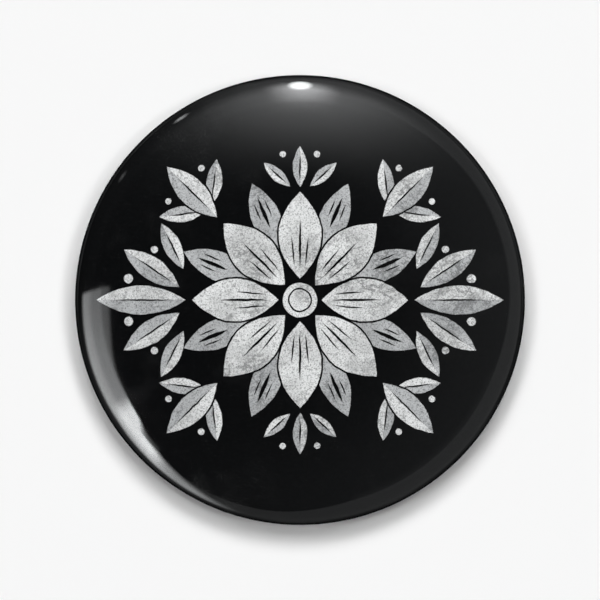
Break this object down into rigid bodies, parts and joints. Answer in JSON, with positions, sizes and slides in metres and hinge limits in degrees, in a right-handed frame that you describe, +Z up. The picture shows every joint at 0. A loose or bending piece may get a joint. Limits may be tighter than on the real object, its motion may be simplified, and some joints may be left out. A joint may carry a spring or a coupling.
{
  "type": "pin-back button badge",
  "caption": "Round domed button badge: a crimped metal shell under a printed disc and clear film, closed by a dished back plate with a spring-wire pin that swings out of its hook.",
  "frame": {"origin": "centre of the flat ring at the back of the crimped rim, which lies against the garment", "axes": "+X to the right as the face is seen, +Y from the face to the garment, +Z up as the badge is worn"},
  "size_m": [0.058, 0.007, 0.058],
  "materials": {
    "film": "clear gloss polyester film",
    "print": "black print with a worn silver-grey design",
    "shell": "bright tinplate",
    "plate": "bright tinplate, pressed",
    "wire": "nickel-plated spring wire"
  },
  "bodies": {
    "badge": {"front_shell": "shell", "print_disc": "print", "clear_film": "film", "back_plate": "plate", "pin_wire_anchor": "wire"},
    "pin": {"pin_wire_arm": "wire"}
  },
  "joints": [
    {"name": "pin_swing", "type": "hinge", "parent": "badge", "child": "pin", "pos_m": [-0.01873, -0.0019, -0.0025], "axis": [0, -0.766, 0.6428], "range_deg": [0, 25], "stiffness_Nm_per_rad": 0.1}
  ]
}
